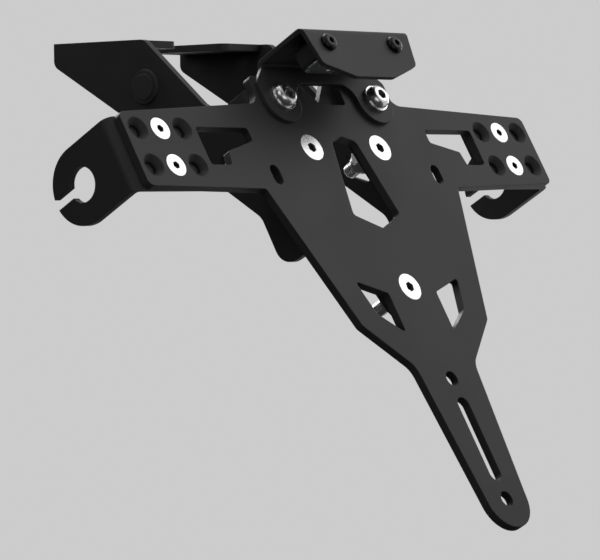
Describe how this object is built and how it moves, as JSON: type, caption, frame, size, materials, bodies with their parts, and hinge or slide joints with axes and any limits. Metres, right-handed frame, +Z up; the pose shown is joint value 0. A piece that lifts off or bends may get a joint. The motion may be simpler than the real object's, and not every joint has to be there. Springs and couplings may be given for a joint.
{
  "type": "license plate holder",
  "caption": "Motorbike license plate holder: T-shaped sheet carrier on a folded bracket, with keyholed indicator brackets and a hooded plate lamp.",
  "frame": {"origin": "middle of the four mounting slots, on the upper face of the mounting flanges", "axes": "+X to the right seen from behind, +Y to the front of the motorbike, +Z up"},
  "size_m": [0.259, 0.214, 0.1997],
  "materials": {
    "black_coat": "satin black powder coat",
    "zinc_steel": "bright zinc plate",
    "black_zinc": "black oxide",
    "black_plastic": "moulded, fine grain",
    "seal_rubber": "matte",
    "lens_plastic": "clear moulded lens",
    "board": "white solder mask",
    "led_resin": "phosphor resin"
  },
  "bodies": {
    "root": {"plate_carrier": "black_coat", "base_bracket": "black_coat", "side_caps": "black_plastic", "indicator_bracket_left": "black_coat", "indicator_bracket_right": "black_coat", "arm_screws": "zinc_steel", "arm_washers": "zinc_steel", "arm_nuts": "zinc_steel", "carrier_screws": "zinc_steel", "carrier_washers": "zinc_steel", "carrier_nuts": "zinc_steel", "main_bolts": "zinc_steel", "main_washers": "zinc_steel", "main_nuts": "zinc_steel", "lamp_bracket": "black_coat", "lamp_housing": "black_plastic", "lamp_seal": "seal_rubber", "lamp_lens": "lens_plastic", "lamp_board": "board", "lamp_leds": "led_resin", "lamp_screws": "black_zinc", "lamp_nuts": "zinc_steel"}
  },
  "joints": []
}
